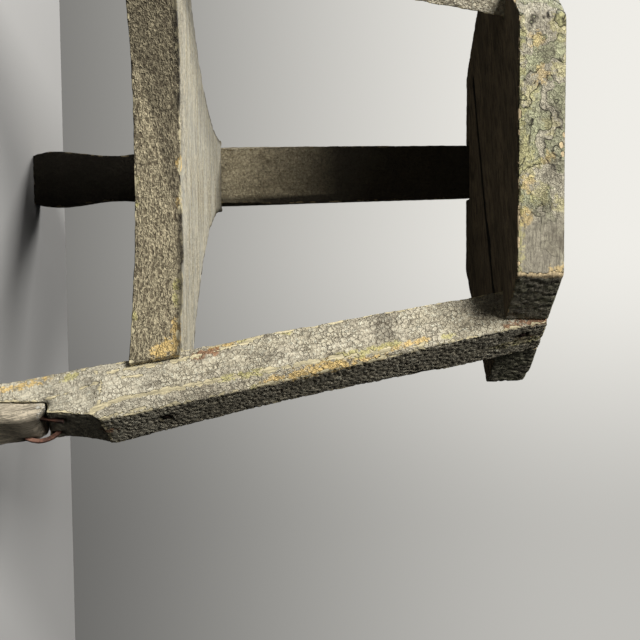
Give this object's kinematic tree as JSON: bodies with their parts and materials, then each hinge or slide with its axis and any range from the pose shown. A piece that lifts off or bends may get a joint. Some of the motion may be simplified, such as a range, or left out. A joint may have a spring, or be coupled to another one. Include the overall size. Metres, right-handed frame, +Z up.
{
  "type": "tripod stool",
  "caption": "Rustic wooden tripod stool to sit on: a hexagonal seat slab, splayed chamfered legs let into its edges, and a concave-sided board that ties the legs together low down.",
  "frame": {"origin": "on the floor, in the plane of symmetry, midway between the stool's front and back", "axes": "+Z up; +Y towards the rear leg; +X to the right when seen from the front"},
  "size_m": [0.4428, 0.3912, 0.45],
  "materials": {
    "painted_wood": "old crackled grey-cream paint, worn to brown wood",
    "bare_wood": "bare weathered grey wood",
    "forged_iron": "rusty forged iron"
  },
  "bodies": {
    "root": {"seat_slab": "painted_wood", "leg_rear": "painted_wood", "leg_front_left": "painted_wood", "leg_front_right": "painted_wood", "lower_board": "painted_wood", "foot_splice": "bare_wood", "seat_nails": "forged_iron", "board_nails": "forged_iron", "splice_toe_nail": "forged_iron", "splice_bent_nail": "forged_iron"}
  },
  "joints": []
}
